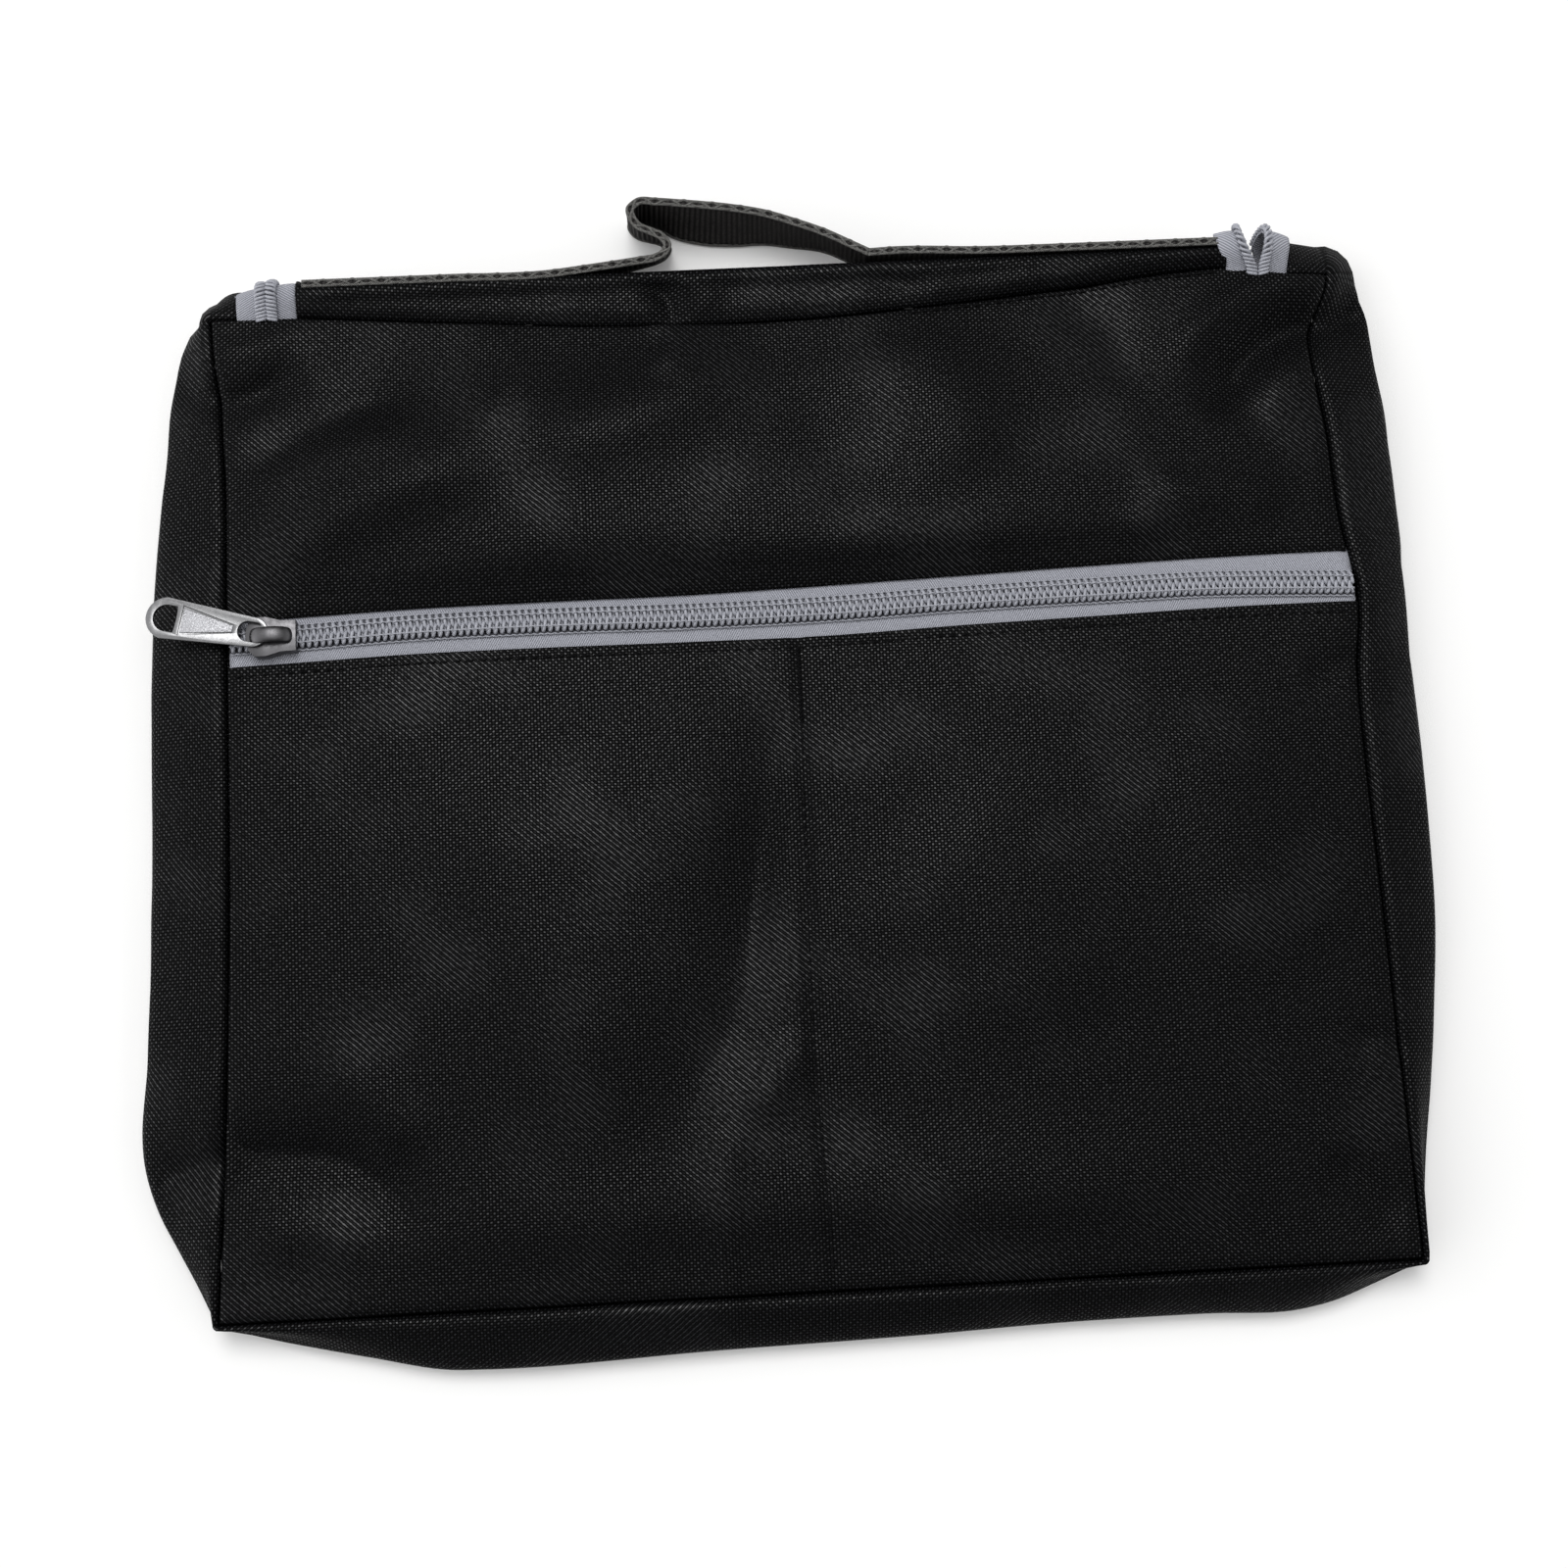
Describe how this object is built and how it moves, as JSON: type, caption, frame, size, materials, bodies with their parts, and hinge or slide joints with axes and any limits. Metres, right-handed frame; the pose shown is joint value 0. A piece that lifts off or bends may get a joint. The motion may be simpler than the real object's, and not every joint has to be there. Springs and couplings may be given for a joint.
{
  "type": "travel pouch",
  "caption": "Flat soft-sided travel pouch lying on its back: zipped front pocket with a divider seam, folded side strip, woven handle on the top edge and a zip-round back flap.",
  "frame": {"origin": "middle of the part's outer box, at the height of the surface it lies on", "axes": "+X to the right along the front, +Y toward the handle, +Z out of the front with the pocket"},
  "size_m": [0.31, 0.2816, 0.0173],
  "materials": {
    "black_cloth": "coarse plain weave, matte black polyester",
    "zip_tape": "woven tape, blue-grey",
    "zip_coil": "nylon coil, blue-grey",
    "webbing": "ribbed woven tape, dark grey",
    "thread": "black sewing thread",
    "slider_metal": "satin gunmetal, die cast",
    "puller_metal": "satin silver, die cast"
  },
  "bodies": {
    "pouch": {"front_upper_panel": "black_cloth", "pocket_panel": "black_cloth", "pocket_backing": "black_cloth", "gusset_band": "black_cloth", "back_border": "black_cloth", "main_zip_tape_outer": "zip_tape", "main_zip_coil_outer": "zip_coil", "pocket_zip_tape_upper": "zip_tape", "pocket_zip_tape_lower": "zip_tape", "pocket_zip_coil_upper": "zip_coil", "pocket_zip_coil_lower": "zip_coil", "pocket_divider_stitch": "thread"},
    "lid": {"top_strip": "black_cloth", "back_flap": "black_cloth", "main_zip_tape_inner": "zip_tape", "main_zip_coil_inner": "zip_coil", "handle_run_left": "webbing", "handle_run_right": "webbing"},
    "handle": {"handle_loop": "webbing"},
    "pocket_slider": {"pocket_slider_body": "slider_metal"},
    "pocket_puller": {"pocket_puller": "puller_metal"},
    "main_slider": {"main_slider_body": "slider_metal"},
    "main_puller": {"main_puller": "puller_metal"}
  },
  "joints": [
    {"name": "lid_hinge", "type": "hinge", "parent": "pouch", "child": "lid", "pos_m": [0, 0.11567, 0.012], "axis": [1, 0, 0], "range_deg": [0, 100]},
    {"name": "handle_swing", "type": "hinge", "parent": "lid", "child": "handle", "pos_m": [0, 0.12251, 0.0147], "axis": [1, 0, 0], "range_deg": [0, 90]},
    {"name": "pocket_slider_slide", "type": "slide", "parent": "pouch", "child": "pocket_slider", "axis": [1, 0.0071, 0], "range_m": [0, 0.25]},
    {"name": "pocket_puller_flip", "type": "hinge", "parent": "pocket_slider", "child": "pocket_puller", "pos_m": [-0.123, 0.03363, 0.01568], "axis": [0.225, 0.9744, 0], "range_deg": [0, 170]},
    {"name": "main_slider_slide", "type": "slide", "parent": "lid", "child": "main_slider", "axis": [0, -1, 0], "range_m": [0, 0.14]},
    {"name": "main_puller_flip", "type": "hinge", "parent": "main_slider", "child": "main_puller", "pos_m": [-0.1258, 0.07192, 0.00193], "axis": [-1, 0, 0], "range_deg": [0, 170]}
  ]
}
